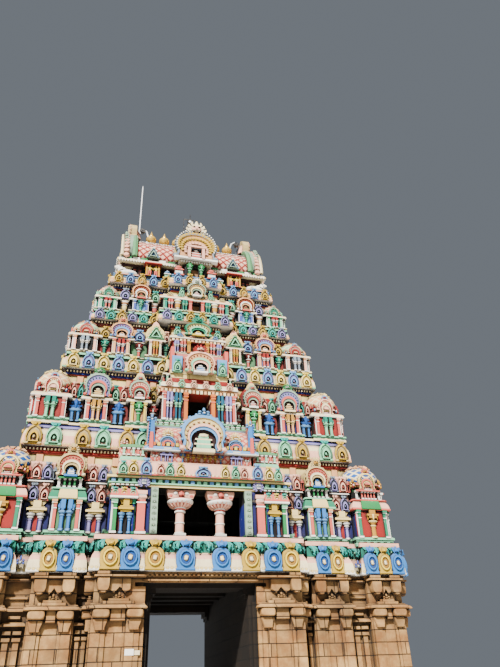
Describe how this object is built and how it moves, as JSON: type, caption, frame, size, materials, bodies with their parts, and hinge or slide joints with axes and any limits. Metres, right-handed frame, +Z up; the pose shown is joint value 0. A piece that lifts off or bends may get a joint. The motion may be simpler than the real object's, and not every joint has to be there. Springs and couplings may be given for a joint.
{
  "type": "temple gateway tower",
  "caption": "Stepped temple gateway tower: granite ground storey with a passage, painted plaster tiers of miniature shrines, a barrel roof and gilt finials.",
  "frame": {"origin": "on the ground, at the middle of the footprint", "axes": "+Z up, +X along the front to the viewer's right, +Y into the building from the front"},
  "size_m": [18.5, 10.1, 31.16],
  "materials": {
    "granite": "dressed granite blocks, brown and orange, stained",
    "lintel_stone": "dressed granite beam, darker and shaded",
    "cornice_plaster": "painted lime plaster, pale pink and cream, weathered",
    "tier_plaster": "painted lime plaster in pastel colours, weathered",
    "shala_plaster": "painted lime plaster, pink with blue and gold",
    "pillar_plaster": "painted lime plaster, pink and white",
    "neck_plaster": "painted lime plaster, cream and yellow",
    "roof_plaster": "painted lime plaster, pink lattice",
    "gable_plaster": "painted lime plaster, grey green with white edges",
    "nasi_plaster": "painted lime plaster, orange gold with a blue grey rim",
    "gilt": "gilt metal, satin",
    "dark_metal": "black enamel, dusty",
    "rod_steel": "galvanised tube, dull",
    "timber": "brown painted boards"
  },
  "bodies": {
    "root": {"pier_left": "granite", "pier_right": "granite", "lintel_front": "lintel_stone", "lintel_back": "lintel_stone", "cornice_1": "cornice_plaster", "cornice_2": "cornice_plaster", "cornice_3": "cornice_plaster", "cornice_4": "cornice_plaster", "cornice_5": "cornice_plaster", "tier_1_front": "tier_plaster", "tier_1_back": "tier_plaster", "tier_2_front": "tier_plaster", "tier_2_back": "tier_plaster", "tier_3_front": "tier_plaster", "tier_3_back": "tier_plaster", "tier_4_front": "tier_plaster", "tier_4_back": "tier_plaster", "shala_front": "shala_plaster", "shala_back": "shala_plaster", "pillar_front_left": "pillar_plaster", "pillar_front_right": "pillar_plaster", "pillar_back_left": "pillar_plaster", "pillar_back_right": "pillar_plaster", "shutter_3_front": "timber", "shutter_3_back": "timber", "shutter_4_front": "timber", "shutter_4_back": "timber", "neck_front": "neck_plaster", "neck_back": "neck_plaster", "neck_door_front": "timber", "neck_door_back": "timber", "eave_slab": "neck_plaster", "barrel_roof": "roof_plaster", "gable_right": "gable_plaster", "gable_left": "gable_plaster", "big_nasi_front": "nasi_plaster", "big_nasi_back": "nasi_plaster", "finial_1": "gilt", "finial_2": "gilt", "finial_3": "gilt", "finial_4": "gilt", "finial_5": "gilt", "finial_6": "gilt", "finial_7": "gilt", "flood_lamp_right": "dark_metal", "flood_lamp_left": "dark_metal", "ridge_lamp_frame": "dark_metal", "lightning_rod": "rod_steel"}
  },
  "joints": []
}
